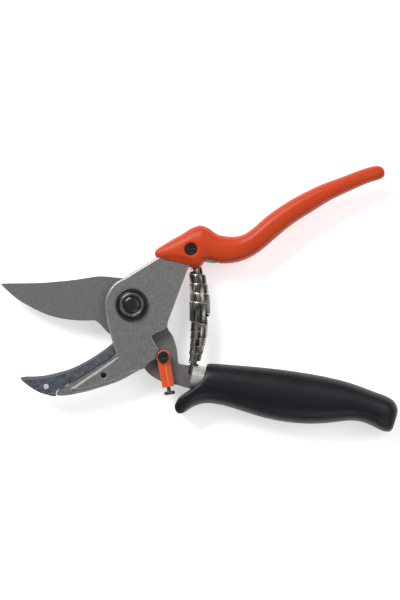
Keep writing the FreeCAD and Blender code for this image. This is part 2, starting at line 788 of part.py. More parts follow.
def ring(name, outer, inner, height, base, axis=UP):
    """Flat ring from expressions for its radii and its height."""
    solid = cylinder(name + "_disc", outer, height, base, axis)
    hole = cylinder(name + "_hole", inner, height, base, axis)
    return cut(name, solid, hole)


def make_pivot():
    blade_back = -size("blade_thickness")
    gap = size("bearing_gap") / 2
    front = size("bearing_gap") + size("plate_thickness")
    washer_top = front + size("washer_thickness")
    nut_top = washer_top + size("nut_height")
    head_top = blade_back - gap - size("back_washer_thickness")
    head_bottom = head_top - size("bolt_head_height")

    head = cone("bolt_head", "dims.bolt_head_radius - dims.bolt_head_height / 4",
                "dims.bolt_head_radius", "dims.bolt_head_height", Vector(0, 0, head_bottom))
    shank_top = nut_top - size("bolt_end_height")
    shank = cylinder("bolt_shank", "dims.bolt_radius",
                     "dims.blade_thickness + dims.back_washer_thickness + dims.bearing_gap * 1.5"
                     " + dims.plate_thickness + dims.washer_thickness + dims.nut_height"
                     " - dims.bolt_end_height", Vector(0, 0, head_top))
    end = cone("bolt_end", "dims.bolt_radius", "dims.bolt_end_radius", "dims.bolt_end_height",
               Vector(0, 0, shank_top))
    socket = hexagon_prism("bolt_socket", "dims.socket_radius", "dims.socket_depth",
                           Vector(0, 0, head_bottom))
    register(cut("bolt", fuse("bolt_blank", head, shank, end), socket), "pivot_bolt")

    register(ring("back_ring", "dims.back_washer_radius", "dims.bolt_radius",
                  "dims.back_washer_thickness", Vector(0, 0, head_top)), "pivot_back_washer")
    register(ring("glide_ring", "dims.glide_radius", "dims.bolt_radius", "dims.glide_thickness",
                  Vector(0, 0, gap)), "glide_disc")
    register(ring("front_ring", "dims.washer_radius", "dims.bolt_radius", "dims.washer_thickness",
                  Vector(0, 0, front)), "pivot_washer")

    nut = cone("nut_blank", "dims.nut_radius", "dims.nut_top_radius", "dims.nut_height",
               Vector(0, 0, washer_top))
    recess = cylinder("nut_recess", "dims.nut_recess_radius", "dims.nut_recess_depth",
                      Vector(0, 0, nut_top - size("nut_recess_depth")))
    bore = cylinder("nut_bore", "dims.bolt_radius", "dims.nut_height", Vector(0, 0, washer_top))
    register(cut("nut", nut, fuse("nut_openings", recess, bore)), "pivot_nut")


# --------------------------------------------------------------------------------------------------
# Upper handle
# --------------------------------------------------------------------------------------------------


def cover_front():
    """Height of the cover's front face at the screw."""
    return size("bearing_gap") + size("plate_thickness") + size("cover_wall")


def make_cover(frame):
    core_half = (size("plate_thickness") + size("core_drop")) / 2
    middle = size("bearing_gap") + size("plate_thickness") - core_half - size("cover_offset")
    stations = [(flat(top), flat(bottom), core_half + wall) for top, bottom, wall in COVER_SECTIONS]
    hull = feature("cover_hull", lofted(stations, middle, size("cover_squareness")))
    hole = cylinder("cover_screw_hole", "dims.screw_hole_radius", "dims.plate_thickness * 6",
                    lifted(HANDLE_SCREW, -3 * size("plate_thickness")))
    base, axis = upper_stud_axis()
    stud = cylinder("cover_stud_hole", "dims.stud_radius", "dims.stud_length / 2", base, axis)
    foot = cylinder("cover_seat_hole", "dims.coil_inner_radius + dims.strip_metal + dims.seat_gap",
                    "dims.coil_inner_radius * 2", base, axis * -1)
    collar = cylinder("cover_collar_hole", "dims.seat_radius", "dims.seat_thickness", base, axis)
    sink_foot = cover_front() - size("screw_sink")
    sink = cone("cover_screw_sink", "dims.screw_hole_radius",
                "dims.screw_hole_radius + dims.screw_sink * 2", "dims.screw_sink * 2",
                lifted(HANDLE_SCREW, sink_foot))
    openings = fuse("cover_openings", frame, hole, sink, stud, collar, foot, nose_bevel())
    register(cut("cover", hull, openings), "handle_cover")


def nose_bevel():
    """Wedge that slopes the cover's front down to the frame plate, below a ridge line."""
    start, end = flat(NOSE_RIDGE[0]), flat(NOSE_RIDGE[1])
    along = (end - start).normalize()
    down = along.cross(UP)
    run = size("bevel_run")
    ridge = cover_front() - size("bevel_drop")
    foot = size("bearing_gap") + size("plate_thickness") - size("bevel_foot")
    over = cover_front() + size("cover_wall")
    profile = [(0, ridge), (run, foot), (2 * run, foot), (2 * run, over), (0, over), (0, ridge)]
    section = Part.makePolygon([start - along * 2 * run + down * a + UP * b for a, b in profile])
    return feature("nose_bevel", Part.Face(section).extrude(along * ((end - start).Length + 2 * run)))


def make_handle_screw():
    front = size("bearing_gap") + size("plate_thickness")
    back = size("bearing_gap") - size("core_drop")
    head = cylinder("handle_screw_head", "dims.screw_head_radius", "dims.screw_head_height",
                    lifted(HANDLE_SCREW, front))
    shank = cylinder("handle_screw_shank", "dims.screw_shank_radius",
                     "dims.plate_thickness + dims.core_drop", lifted(HANDLE_SCREW, front), -UP)
    depth = size("cross_depth")
    floor = lifted(HANDLE_SCREW, front + size("screw_head_height") - depth)
    arms = [
        crossing_bar(f"cross_{turn}", size("cross_reach"), size("cross_width"), depth, floor, turn)
        for turn in CROSS_TURNS
    ]
    register(cut("cross_screw", fuse("handle_screw_blank", head, shank),
                 fuse("cross_recess", *arms)), "handle_screw")

    sleeve_head = cylinder("sleeve_head", "dims.screw_head_radius", "dims.screw_head_height",
                           lifted(HANDLE_SCREW, back), -UP)
    barrel = cylinder("sleeve_barrel", "dims.sleeve_radius",
                      "dims.core_drop + dims.plate_thickness / 2", lifted(HANDLE_SCREW, back))
    thread = cylinder("sleeve_bore", "dims.screw_shank_radius",
                      "dims.core_drop + dims.plate_thickness / 2", lifted(HANDLE_SCREW, back))
    register(cut("sleeve", fuse("sleeve_blank", sleeve_head, barrel), thread), "handle_screw_sleeve")


# --------------------------------------------------------------------------------------------------
# Return spring: a strip rolled as two cones that meet at their wide ends
# --------------------------------------------------------------------------------------------------


def spring_axis():
    """Bowed centre line of the rolled spring, from its upper end to its lower end."""
    top = Vector(32.3, 18.2, SPRING_LEVEL)
    middle = Vector(34.3, -5.4, SPRING_LEVEL)
    bottom = Vector(31.1, -29.4, SPRING_LEVEL)
    return Part.Arc(top, middle, bottom)


def spring_frame(fraction):
    """Point on the centre line, its direction down the line, and the sideways direction."""
    axis = spring_axis()
    parameter = axis.FirstParameter + fraction * (axis.LastParameter - axis.FirstParameter)
    along = axis.tangent(parameter)[0]
    if along.y > 0:
        along = along * -1
    return axis.value(parameter), along, along.cross(UP)


def upper_stud_axis():
    """Base point and direction of the stud that runs up into the frame's core."""
    point, along, _ = spring_frame(0.0)
    return point, along * -1


def lower_stud_axis():
    point, along, _ = spring_frame(1.0)
    return point, along


def strip_half_height(turn):
    """Half the strip's width: narrow over the widest turn, so that the two cones clear each other."""
    share = min(1.0, max(0.0, (abs(turn) - 0.9) / 0.6))
    share = share * share * (3 - 2 * share)
    narrow = size("waist_height") / 2
    return narrow + (size("strip_height") / 2 - narrow) * share


def spring_edge(wall, side):
    """Spiral edge of the strip: wall 0 or 1 picks its inner or outer face, side -1 or 1 its end."""
    inner = size("coil_inner_radius")
    outer = size("coil_outer_radius") - size("strip_metal")
    end_half = size("strip_height") / 2
    turns = size("spring_turns")
    count = int(turns * STEPS_PER_TURN)
    points = []
    for i in range(count + 1):
        fraction = i / count
        half = strip_half_height((fraction - 0.5) * turns)
        radius = inner + (outer - inner) * (1 - abs(2 * fraction - 1)) + wall * size("strip_metal")
        place = end_half + fraction * (size("spring_length") - 2 * end_half) + side * half
        centre, _, sideways = spring_frame(place / size("spring_length"))
        angle = 2 * math.pi * i / STEPS_PER_TURN
        points.append(centre + sideways * (radius * math.cos(angle)) + UP * (radius * math.sin(angle)))
    return spiral(points)


def spiral(points):
    spline = Part.BSplineCurve()
    spline.interpolate(points, Parameters=[float(i) for i in range(len(points))])
    return spline


def ruled_face(first, second):
    """Face between two splines that share their knots."""
    surface = Part.BSplineSurface()
    poles = list(zip(first.getPoles(), second.getPoles()))
    surface.buildFromPolesMultsKnots(
        poles, first.getMultiplicities(), [2, 2], first.getKnots(), [0.0, 1.0], False, False, 3, 1)
    return surface.toShape()


def wound_solid(corners):
    """Solid of a wound strip or wire with four corner splines, taken in order round its section."""
    faces = [ruled_face(a, b) for a, b in zip(corners, corners[1:] + corners[:1])]
    for end in (corners[0].FirstParameter, corners[0].LastParameter):
        ends = [corner.value(end) for corner in corners]
        faces.append(Part.Face(Part.makePolygon(ends + ends[:1])))
    skin = Part.makeCompound(faces)
    skin.sewShape(1e-4)
    solid = Part.Solid(skin.Shells[0])
    if solid.Volume < 0:
        solid.reverse()
    return solid


def make_spring():
    corners = [spring_edge(wall, side) for wall, side in ((0, -1), (0, 1), (1, 1), (1, -1))]
    register(feature("rolled_strip", wound_solid(corners)), "volute_spring")


def make_spring_seats():
    for name, (base, axis) in (("upper", upper_stud_axis()), ("lower", lower_stud_axis())):
        disc = cylinder(f"{name}_seat_disc", "dims.seat_radius", "dims.seat_thickness", base, axis)
        stud = cylinder(f"{name}_stud", "dims.stud_radius", "dims.stud_length",
                        base - axis * (size("stud_length") / 2), axis)
        register(fuse(f"{name}_seat", disc, stud), f"spring_{name}_seat")


# --------------------------------------------------------------------------------------------------
# Blade half and the rolling grip
# --------------------------------------------------------------------------------------------------


def make_blade():
    body = new_body("blade")
    flank = sketch(body, "blade_face", "0 mm", blade_outline())
    pad(body, flank, "dims.edge_land", downwards=True)
    front = sketch(body, "bevel_start", "-dims.edge_land", blade_outline())
    back = sketch(body, "bevel_end", "-dims.blade_thickness", blade_outline(size("bevel_width")))
    loft(body, "bevel", front, back)
    bore = circle_sketch(body, "bush_bore", "0 mm", Vector(),
                         "dims.bolt_radius + dims.running_gap + dims.bush_wall")
    pocket(body, bore, "dims.blade_thickness")
    catch = circle_sketch(body, "catch_screw_bore", "0 mm", CATCH_HUB, "dims.catch_screw_shank")
    pocket(body, catch, "dims.blade_thickness")
    for number, station in enumerate(TANG_PIN_STATIONS):
        pin = circle_sketch(body, f"pin_hole_{number}", "0 mm", flat(on_roll_axis(station, 0)),
                            "dims.pin_radius")
        pocket(body, pin, "dims.blade_thickness")
    drill(body, "tang_stud_hole", "dims.stud_radius", "dims.stud_length / 2", *lower_stud_axis())

    register(ring("bush", "dims.bolt_radius + dims.running_gap + dims.bush_wall",
                  "dims.bolt_radius + dims.running_gap", "dims.blade_thickness",
                  Vector(0, 0, -size("blade_thickness"))), "blade_bush")


def make_grip_core():
    axis = roll_direction()
    collar = cylinder("collar", "dims.collar_radius", "dims.collar_length", roll_base(0), axis)
    spindle = cylinder("spindle", "dims.spindle_radius", "dims.spindle_end", roll_base(0), axis)
    neck = size("tang_neck")
    thickness = size("blade_thickness")
    low = flat(on_roll_axis(-1, -neck)) - UP * thickness
    slot = box("tang_slot", size("tang_end") + 1, 2 * neck, thickness,
               Placement(low, Rotation(UP, size("roll_axis_angle"))))
    bore_start = size("spindle_end") - size("end_screw_length")
    thread = cylinder("end_screw_bore", "dims.end_screw_radius", "dims.end_screw_length",
                      roll_base(bore_start), axis)
    pins = [pin_cylinder(f"pin_bore_{n}", station) for n, station in enumerate(TANG_PIN_STATIONS)]
    base, down = lower_stud_axis()
    stud = cylinder("collar_stud_hole", "dims.stud_radius", "dims.stud_length / 2", base, down)
    seat = cylinder("collar_seat", "dims.seat_radius", "dims.seat_thickness", base, down)
    blank = fuse("grip_core_blank", collar, spindle)
    register(cut("grip_core_cut", blank, fuse("grip_core_openings", slot, thread, stud, seat, *pins)),
             "grip_core")


def pin_cylinder(name, station):
    base = flat(on_roll_axis(station, 0))
    base.z = -size("blade_thickness") / 2 - size("pin_length") / 2
    return cylinder(name, "dims.pin_radius", "dims.pin_length", base)


def make_tang_pins():
    pins = [pin_cylinder(f"tang_pin_{n}", station) for n, station in enumerate(TANG_PIN_STATIONS)]
    made = doc.addObject("Part::Compound", "pins")
    made.Links = pins
    register(made, "tang_pins")


# Radii of the hard liner in the grip, as expressions
LINER_INNER = "dims.spindle_radius + dims.bush_thickness + dims.running_gap"
LINER_OUTER = LINER_INNER + " + dims.liner_wall"


def liner_growth():
    """How much wider the liner is than the one the grip's sections are drawn for."""
    inner = size("spindle_radius") + size("bush_thickness") + size("running_gap")
    return inner + size("liner_wall") - size("drawn_liner_radius")


def make_grip_bearings():
    axis = roll_direction()
    outer = "dims.spindle_radius + dims.bush_thickness"
    register(ring("front_bush_ring", outer, "dims.spindle_radius", "dims.grip_bush_length",
                  roll_base(size("front_bush_start")), axis), "grip_front_bush")
    register(ring("rear_bush_ring", outer, "dims.spindle_radius", "dims.grip_bush_length",
                  roll_base(size("rear_bush_start")), axis), "grip_rear_bush")
    end = size("spindle_end")
    register(ring("thrust_ring", LINER_OUTER + " - dims.thrust_step", "dims.end_screw_radius",
                  "dims.thrust_thickness", roll_base(end), axis), "grip_thrust_washer")
    head_start = end + size("thrust_thickness")
    shank = cylinder("end_screw_shank", "dims.end_screw_radius",
                     "dims.end_screw_length + dims.thrust_thickness",
                     roll_base(end - size("end_screw_length")), axis)
    head = cylinder("end_screw_head_disc", "dims.end_screw_head", "dims.end_screw_height",
                    roll_base(head_start), axis)
    register(fuse("end_screw", shank, head), "grip_end_screw")


def make_grip():
    axis = roll_direction()
    middle = -size("blade_thickness") / 2
    growth = liner_growth()
    outwards = Vector(0, growth, 0)
    stations = [
        (flat(top) + outwards, flat(bottom) - outwards, half + growth)
        for top, bottom, half in GRIP_SECTIONS
    ]
    hull = feature("grip_hull", lofted(stations, middle, size("grip_squareness")))
    reach = size("mouth_reach")
    front_face = Part.Face(Part.Wire([edge.toShape() for edge in grip_front()]))
    front_face.translate(Vector(0, 0, middle - reach))
    front = feature("mouth_cut", front_face.extrude(Vector(0, 0, 2 * reach)))
    mouth = cylinder("mouth", "dims.collar_radius + dims.mouth_gap",
                     "dims.mouth_depth + dims.mouth_reach", roll_base(-reach), axis)
    bore = cylinder("grip_bore", LINER_OUTER, "dims.grip_bore_end", roll_base(0), axis)
    shell = cut("grip", hull, fuse("grip_openings", front, mouth, bore))
    register(shell, "grip_shell")
    register(ring("liner_tube", LINER_OUTER, LINER_INNER,
                  "dims.spindle_end - dims.mouth_depth - dims.liner_gap",
                  roll_base(size("mouth_depth")), axis), "grip_liner")


# --------------------------------------------------------------------------------------------------
# Catch
# --------------------------------------------------------------------------------------------------


def make_catch():
    lift = size("catch_lift")
    length = size("arm_length")
    half = size("arm_half_width")
    thick = size("catch_thickness")
    side = thick - size("catch_bevel")
    profile = [(-half, 0), (half, 0), (half, side), (0.3, thick), (-half, side + 0.2), (-half, 0)]
    along = arm_direction()
    across = along.cross(UP) * -1
    start = arm_base(0, lift)
    section = Part.makePolygon([start + across * a + UP * b for a, b in profile])
    arm = feature("arm_bar", Part.Face(section).extrude(along * length))
    hub = cylinder("catch_hub", "dims.hub_radius", "dims.catch_thickness - dims.hub_step",
                   lifted(CATCH_HUB, lift))
    turning = cylinder("catch_bore", "dims.catch_screw_shank + dims.running_gap",
                       "dims.catch_thickness", lifted(CATCH_HUB, lift))
    over = cylinder("screw_room", "dims.catch_screw_head + dims.hub_gap", "dims.catch_thickness",
                    lifted(CATCH_HUB, lift + thick - size("hub_step")))
    middle = lift + side / 2 + size("foot_bore_lift")
    chamber = cylinder("foot_chamber", "dims.foot_bore_radius", "dims.foot_bore_depth",
                       arm_base(length, middle), along * -1)
    register(cut("catch", fuse("catch_blank", arm, hub),
                 fuse("catch_openings", turning, over, chamber)), "catch_lever")

    guide_length = size("foot_guide_length")
    register(ring("guide", "dims.foot_bore_radius", "dims.foot_stem_radius + dims.running_gap",
                  "dims.foot_guide_length", arm_base(length - guide_length, middle), along),
             "catch_foot_guide")

    collar_start = length - guide_length - size("foot_collar_length")
    stem = cylinder("foot_stem", "dims.foot_stem_radius",
                    "dims.foot_collar_length + dims.foot_guide_length + dims.foot_reach",
                    arm_base(collar_start, middle), along)
    collar = cylinder("foot_collar", "dims.foot_collar_radius", "dims.foot_collar_length",
                      arm_base(collar_start, middle), along)
    head = cylinder("foot_head", "dims.foot_head_radius", "dims.foot_head_height",
                    arm_base(length + size("foot_reach"), middle), along)
    register(fuse("foot", stem, collar, head), "catch_foot")

    spring_start = length - size("foot_bore_depth")
    room = collar_start - spring_start
    wire = size("foot_wire")
    radius = size("foot_bore_radius") - wire - size("bearing_gap")
    count = int(size("foot_spring_turns") * STEPS_PER_TURN)
    corners = []
    for wall, side in ((0, 0), (0, 1), (1, 1), (1, 0)):
        points = []
        for i in range(count + 1):
            place = (room - wire) * i / count + side * wire
            angle = 2 * math.pi * i / STEPS_PER_TURN
            reach = radius + wall * wire
            points.append(Vector(reach * math.cos(angle), reach * math.sin(angle), place))
        corners.append(spiral(points))
    made = feature("foot_coil", wound_solid(corners))
    made.Placement = Placement(arm_base(spring_start, middle), Rotation(UP, along))
    register(made, "catch_foot_spring")


def make_catch_screw():
    hub_top = size("catch_lift") + size("catch_thickness") - size("hub_step")
    top = hub_top + size("bearing_gap")
    head = cylinder("catch_head", "dims.catch_screw_head", "dims.catch_screw_height",
                    lifted(CATCH_HUB, top))
    shank = cylinder("catch_shank", "dims.catch_screw_shank",
                     "dims.blade_thickness + dims.catch_lift + dims.catch_thickness - dims.hub_step"
                     " + dims.bearing_gap", lifted(CATCH_HUB, -size("blade_thickness")))
    depth = size("catch_slot_depth")
    slot = crossing_bar("catch_slot", size("catch_screw_head"), size("catch_slot_width"), depth,
                        lifted(CATCH_HUB, top + size("catch_screw_height") - depth),
                        size("catch_slot_angle"))
    register(cut("catch_screw_cut", fuse("catch_screw_blank", head, shank), slot), "catch_screw")
    register(ring("catch_ring", "dims.catch_screw_head", "dims.catch_screw_shank",
                  "dims.catch_lift - dims.bearing_gap / 2", lifted(CATCH_HUB, 0)), "catch_washer")


# --------------------------------------------------------------------------------------------------
# Assembly, checks and export
# --------------------------------------------------------------------------------------------------


def check_document():
    doc.recompute()
    for thing in doc.Objects:
        if "Invalid" in thing.State or "Error" in thing.State:
            raise RuntimeError(f"{thing.Label}: {thing.State}")
    for thing in subparts:
        if thing.Shape.isNull() or not thing.Shape.isValid():
            raise RuntimeError(f"{thing.Label} has no valid shape")
        solids = 2 if thing.Label == "tang_pins" else 1
        if len(thing.Shape.Solids) != solids:
            raise RuntimeError(f"{thing.Label} has {len(thing.Shape.Solids)} solids")


def drop_to_origin():
    """Moves every sub-part so that the origin is the middle of the underside of the whole box."""
    whole = FreeCAD.BoundBox()
    for thing in subparts:
        whole.add(thing.Shape.optimalBoundingBox(False))
    shift = Placement(Vector(-whole.Center.x, -whole.Center.y, -whole.ZMin), Rotation())
    for thing in subparts:
        shape = thing.Shape.copy()
        shape.Placement = shift.multiply(shape.Placement)
        yield thing, shape
    print(f"pivot at {shift.Base.x:.3f} {shift.Base.y:.3f} {shift.Base.z:.3f} mm")


def main():
    fill_sheet()
    frame = make_frame()
    make_counter_blade()
    make_insert()
    make_hook_fasteners()
    make_pivot()
    make_cover(frame)
    make_handle_screw()
    make_spring()
    make_spring_seats()
    make_blade()
    make_grip_core()
    make_tang_pins()
    make_grip_bearings()
    make_grip()
    make_catch()
    make_catch_screw()
    check_document()
    os.makedirs("parts", exist_ok=True)
    for thing, shape in drop_to_origin():
        shape.exportStep(os.path.join("parts", f"{thing.Label}.step"))


main()
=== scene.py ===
"""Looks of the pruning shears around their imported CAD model.

Lengths in named values are millimetres in the working frame of the pivot: X towards the handles, Y
towards the covered handle, Z up out of the front face, with Z = 0 where blade and frame meet.
"""

import json
import math

import bmesh
import bpy
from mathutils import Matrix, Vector

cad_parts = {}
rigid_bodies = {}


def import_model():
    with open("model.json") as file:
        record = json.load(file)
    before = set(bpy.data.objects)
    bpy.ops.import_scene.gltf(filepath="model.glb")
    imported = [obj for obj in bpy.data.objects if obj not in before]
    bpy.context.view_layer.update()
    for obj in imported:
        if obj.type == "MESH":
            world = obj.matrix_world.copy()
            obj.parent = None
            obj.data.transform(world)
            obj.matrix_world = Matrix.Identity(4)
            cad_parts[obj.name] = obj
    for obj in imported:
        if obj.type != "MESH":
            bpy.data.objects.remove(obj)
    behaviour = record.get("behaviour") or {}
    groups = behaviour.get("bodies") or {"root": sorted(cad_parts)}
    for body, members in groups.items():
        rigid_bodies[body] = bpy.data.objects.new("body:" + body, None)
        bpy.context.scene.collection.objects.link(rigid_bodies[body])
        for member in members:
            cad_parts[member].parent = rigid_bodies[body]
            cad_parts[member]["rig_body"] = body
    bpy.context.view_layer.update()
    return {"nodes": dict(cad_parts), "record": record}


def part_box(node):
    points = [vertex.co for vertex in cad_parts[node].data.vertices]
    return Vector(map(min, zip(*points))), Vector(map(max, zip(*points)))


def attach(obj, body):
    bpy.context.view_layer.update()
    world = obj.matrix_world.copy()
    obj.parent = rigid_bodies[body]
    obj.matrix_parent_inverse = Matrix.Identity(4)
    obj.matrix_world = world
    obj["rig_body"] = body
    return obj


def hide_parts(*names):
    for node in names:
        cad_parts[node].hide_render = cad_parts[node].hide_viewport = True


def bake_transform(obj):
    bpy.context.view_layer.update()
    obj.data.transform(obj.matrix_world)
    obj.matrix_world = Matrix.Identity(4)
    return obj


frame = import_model()

MM = 0.001
nut_low, nut_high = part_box("pivot_nut")
blade_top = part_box("blade")[1].z
PIVOT = Vector(((nut_low.x + nut_high.x) / 2, (nut_low.y + nut_high.y) / 2, blade_top))


def at(x, y, z=0.0):
    """Point given in millimetres from the pivot, in the row frame, in metres."""
    return PIVOT + Vector((x, y, z)) * MM


# --------------------------------------------------------------------------------------------------
# Camera, floor and light
# --------------------------------------------------------------------------------------------------

VIEW_HEIGHT = 303.0
LENS = 150.0
SENSOR = 36.0
VIEW_CENTRE = (34.3, 2.4)
CLIP_END = 10

WORLD_LIGHT = 0.27
LAMP_AIM = (30, 0, 0)
# offset from the aim and size in metres, power in watts
LAMPS = {
    "key": ((-0.42, 0.55, 0.62), (0.5, 0.4), 8.0),
    "fill": ((0.6, 0.25, 0.85), (0.7, 0.7), 3.0),
    "rim": ((0.35, -0.75, 0.6), (0.8, 0.3), 1.5),
}
FLOOR_HALF = 3.0
FLOOR_TONE = 0.93
FLOOR_ROUGHNESS = 0.9
FLOOR_SPECULAR = 0.1
FLOOR_GLOW = 0.45


def make_camera():
    data = bpy.data.cameras.new("camera")
    data.lens = LENS
    data.sensor_width = SENSOR
    data.clip_end = CLIP_END
    camera = bpy.data.objects.new("camera", data)
    bpy.context.scene.collection.objects.link(camera)
    camera.location = at(*VIEW_CENTRE, VIEW_HEIGHT * LENS / SENSOR)
    bpy.context.scene.camera = camera


def area_light(name, place, aim, size, power):
    data = bpy.data.lights.new(name, "AREA")
    data.shape = "RECTANGLE"
    data.size, data.size_y = size
    data.energy = power
    light = bpy.data.objects.new(name, data)
    bpy.context.scene.collection.objects.link(light)
    light.location = place
    light.rotation_euler = (Vector(aim) - Vector(place)).to_track_quat("-Z", "Y").to_euler()


def make_studio():
    bpy.context.scene.view_settings.view_transform = "Standard"
    world = bpy.data.worlds.new("studio")
    bpy.context.scene.world = world
    world.use_nodes = True
    backdrop = world.node_tree.nodes["Background"]
    backdrop.inputs["Color"].default_value = (1, 1, 1, 1)
    backdrop.inputs["Strength"].default_value = WORLD_LIGHT
    centre = at(*LAMP_AIM)
    for name, (offset, size, power) in LAMPS.items():
        area_light(name, centre + Vector(offset), centre, size, power)
    make_floor()


def make_floor():
    mesh = bpy.data.meshes.new("floor")
    half = FLOOR_HALF
    mesh.from_pydata([(-half, -half, 0), (half, -half, 0), (half, half, 0), (-half, half, 0)], [],
                     [(0, 1, 2, 3)])
    floor = bpy.data.objects.new("floor", mesh)
    bpy.context.scene.collection.objects.link(floor)
    material, _, _, shader = new_material("floor_paper")
    shader.inputs["Base Color"].default_value = (FLOOR_TONE, FLOOR_TONE, FLOOR_TONE, 1)
    shader.inputs["Roughness"].default_value = FLOOR_ROUGHNESS
    shader.inputs["Specular IOR Level"].default_value = FLOOR_SPECULAR
    shader.inputs["Emission Color"].default_value = (1, 1, 1, 1)
    shader.inputs["Emission Strength"].default_value = FLOOR_GLOW
    floor.data.materials.append(material)


# --------------------------------------------------------------------------------------------------
# Materials
# --------------------------------------------------------------------------------------------------


NOISE_LOW = 0.3
NOISE_HIGH = 0.7
ROUGH_SPREAD = 0.05


def new_material(name):
    material = bpy.data.materials.new(name)
    material.use_nodes = True
    nodes, links = material.node_tree.nodes, material.node_tree.links
    return material, nodes, links, nodes["Principled BSDF"]


def object_coords(nodes, links, stretch=(1, 1, 1)):
    """Coordinates of the surface in metres, stretched along the axes."""
    coords = nodes.new("ShaderNodeTexCoord")
    mapping = nodes.new("ShaderNodeMapping")
    mapping.inputs["Scale"].default_value = stretch
    links.new(coords.outputs["Object"], mapping.inputs["Vector"])
    return mapping.outputs["Vector"]


def noise(nodes, links, vector, size, detail=3.0, roughness=0.55):
    """Noise whose features are about size millimetres across."""
    made = nodes.new("ShaderNodeTexNoise")
    made.inputs["Scale"].default_value = 1 / (size * MM)
    made.inputs["Detail"].default_value = detail
    made.inputs["Roughness"].default_value = roughness
    links.new(vector, made.inputs["Vector"])
    return made.outputs["Fac"]


def ramp(nodes, links, factor, stops):
    """Colour of factor. stops are (place, colour) in rising order."""
    made = nodes.new("ShaderNodeValToRGB")
    elements = made.color_ramp.elements
    for element, (place, colour) in zip(elements, (stops[0], stops[-1])):
        element.position = place
        element.color = (*colour, 1)
    for place, colour in stops[1:-1]:
        elements.new(place).color = (*colour, 1)
    links.new(factor, made.inputs["Fac"])
    return made.outputs["Color"]


def remap(nodes, links, factor, low, high):
    """Noise spread from low to high over the range it mostly has."""
    made = nodes.new("ShaderNodeMapRange")
    made.inputs["From Min"].default_value = NOISE_LOW
    made.inputs["From Max"].default_value = NOISE_HIGH
    made.inputs["To Min"].default_value = low
    made.inputs["To Max"].default_value = high
    links.new(factor, made.inputs["Value"])
    return made.outputs["Result"]


def bump(nodes, links, heights, shader):
    """Chain of bumps: (height socket, depth in millimetres)."""
    normal = None
    for height, depth in heights:
        made = nodes.new("ShaderNodeBump")
        made.inputs["Distance"].default_value = depth * MM
        links.new(height, made.inputs["Height"])
        if normal is not None:
            links.new(normal, made.inputs["Normal"])
        normal = made.outputs["Normal"]
    links.new(normal, shader.inputs["Normal"])


def multiply(nodes, links, first, second):
    """Product of two colours."""
    made = nodes.new("ShaderNodeMix")
    made.data_type = "RGBA"
    made.blend_type = "MULTIPLY"
    made.inputs["Factor"].default_value = 1.0
    links.new(first, made.inputs["A"])
    links.new(second, made.inputs["B"])
    return made.outputs["Result"]


def shade(colour, factor):
    return tuple(channel * factor for channel in colour)


def make_surface(name, colour, rough, metallic=0.0, contrast=0.12, mottle=6.0, grain=0.4,
                 grain_depth=0.01, stretch=(1, 1, 1), coat=0.0, coat_rough=0.1, specular=0.5):
    """General surface: mottled colour, fine grain in colour and relief, varied roughness."""
    material, nodes, links, shader = new_material(name)
    vector = object_coords(nodes, links, stretch)
    broad = noise(nodes, links, vector, mottle)
    fine = noise(nodes, links, vector, grain, 2.0)
    dark, light = 1 - contrast, 1 + contrast
    mottled = ramp(nodes, links, broad, [(NOISE_LOW, shade(colour, dark)),
                                         (NOISE_HIGH, shade(colour, light))])
    grained = ramp(nodes, links, fine, [(0.25, (dark,) * 3), (0.75, (light,) * 3)])
    links.new(multiply(nodes, links, mottled, grained), shader.inputs["Base Color"])
    links.new(remap(nodes, links, broad, rough - ROUGH_SPREAD, rough + ROUGH_SPREAD),
              shader.inputs["Roughness"])
    shader.inputs["Metallic"].default_value = metallic
    shader.inputs["Coat Weight"].default_value = coat
    shader.inputs["Coat Roughness"].default_value = coat_rough
    shader.inputs["Specular IOR Level"].default_value = specular
    bump(nodes, links, [(fine, grain_depth), (broad, grain_depth * 2)], shader)
    return material


SPECK = 0.55


def make_plated(name, colour):
    """Zinc plate over a blasted surface: light and dark specks of about half a millimetre."""
    material, nodes, links, shader = new_material(name)
    vector = object_coords(nodes, links)
    cells = nodes.new("ShaderNodeTexVoronoi")
    cells.inputs["Scale"].default_value = 1 / (SPECK * MM)
    links.new(vector, cells.inputs["Vector"])
    specks = ramp(nodes, links, cells.outputs["Distance"],
                  [(0.05, shade(colour, 2.1)), (0.3, shade(colour, 1.1)),
                   (0.75, shade(colour, 0.6))])
    clouds = noise(nodes, links, vector, 2.2)
    cloudy = ramp(nodes, links, clouds, [(NOISE_LOW, (0.65, 0.68, 0.72)),
                                         (NOISE_HIGH, (1.25, 1.25, 1.22))])
    links.new(multiply(nodes, links, specks, cloudy), shader.inputs["Base Color"])
    links.new(remap(nodes, links, clouds, 0.38, 0.55), shader.inputs["Roughness"])
    shader.inputs["Metallic"].default_value = 0.55
    bump(nodes, links, [(cells.outputs["Distance"], 0.06), (clouds, 0.05)], shader)
    return material


def make_strip_steel(name):
    """Tempered strip: dark, with bright streaks along the spring and a brown tint in places."""
    material, nodes, links, shader = new_material(name)
    vector = object_coords(nodes, links, (1, 0.16, 1))
    streaks = noise(nodes, links, vector, 1.5, 2.0, 0.5)
    base = ramp(nodes, links, streaks, [(0.36, (0.022, 0.022, 0.024)),
                                        (0.47, (0.095, 0.094, 0.091)),
                                        (0.57, (0.24, 0.235, 0.22)), (0.67, (0.5, 0.48, 0.44))])
    clouds = noise(nodes, links, object_coords(nodes, links), 5.0)
    tint = ramp(nodes, links, clouds, [(0.35, (0.80, 0.72, 0.60)), (0.65, (1.0, 1.0, 1.0))])
    links.new(multiply(nodes, links, base, tint), shader.inputs["Base Color"])
    links.new(remap(nodes, links, streaks, 0.38, 0.22), shader.inputs["Roughness"])
    shader.inputs["Metallic"].default_value = 0.8
    fine = noise(nodes, links, object_coords(nodes, links, (6, 1, 6)), 0.3, 2.0)
    bump(nodes, links, [(fine, 0.008)], shader)
    return material


